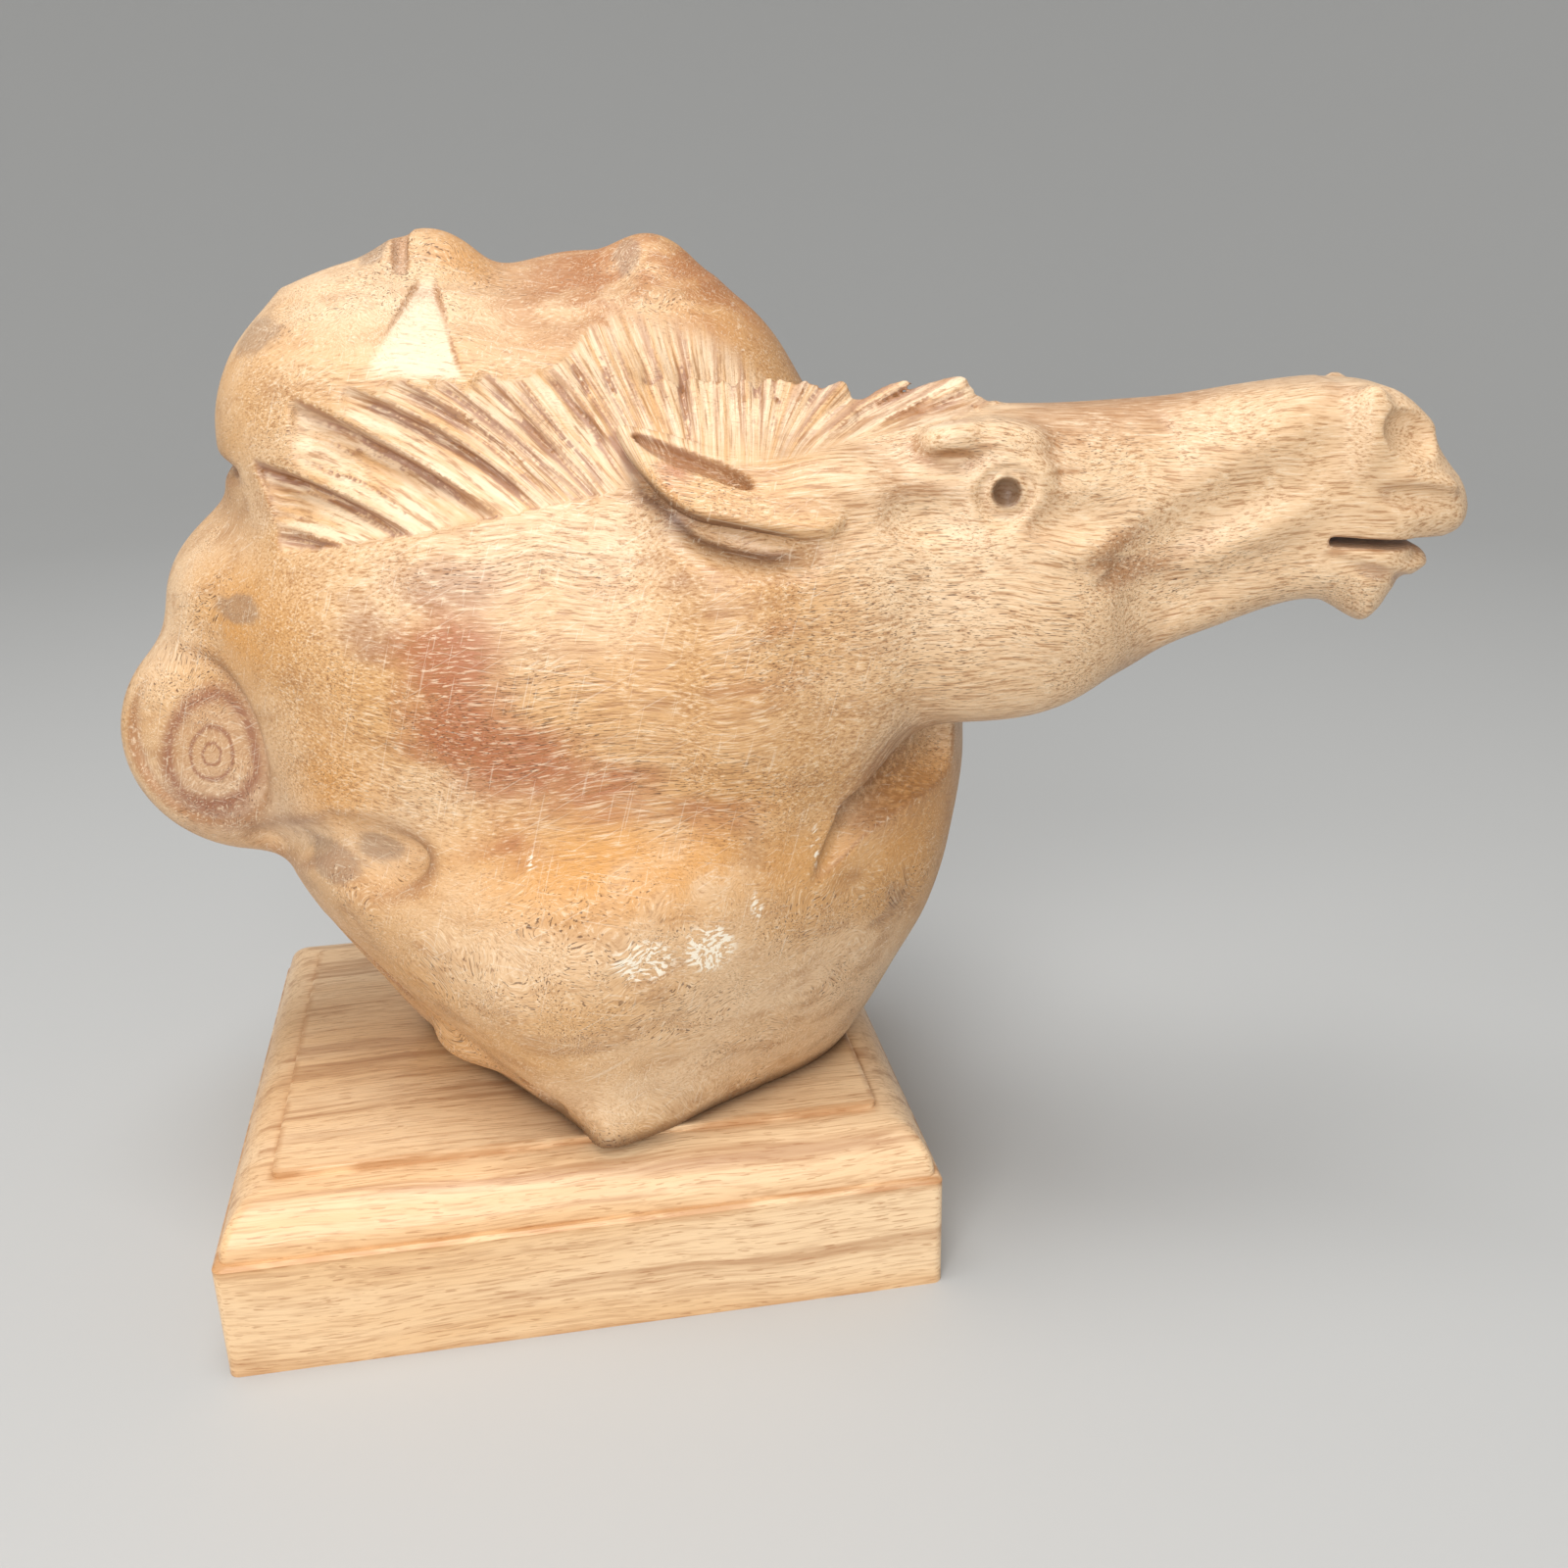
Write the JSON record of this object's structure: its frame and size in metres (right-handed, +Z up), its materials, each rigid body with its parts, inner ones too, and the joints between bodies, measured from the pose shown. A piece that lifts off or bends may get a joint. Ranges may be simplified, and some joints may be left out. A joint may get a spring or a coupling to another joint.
{
  "type": "driftwood horse head sculpture",
  "caption": "Horse head with laid-back ear and fanned mane carved out of a driftwood burl, standing on a moulded rectangular wooden plinth.",
  "frame": {"origin": "centre of the plinth's underside", "axes": "+Z up, +X along the plinth's length towards the horse's nose, -Y towards the side the head is carved on"},
  "size_m": [0.2523, 0.132, 0.2033],
  "materials": {
    "oiled_driftwood": "satin oiled carving in honey-tan wood with dark pores, paler mane, red-brown heartwood patch and mottled bark-side knots",
    "varnished_plinth_wood": "light tan straight-grained wood, varnished moulding and flatter sides"
  },
  "bodies": {
    "root": {"carved_horse_head": "oiled_driftwood", "plinth": "varnished_plinth_wood"}
  },
  "joints": []
}
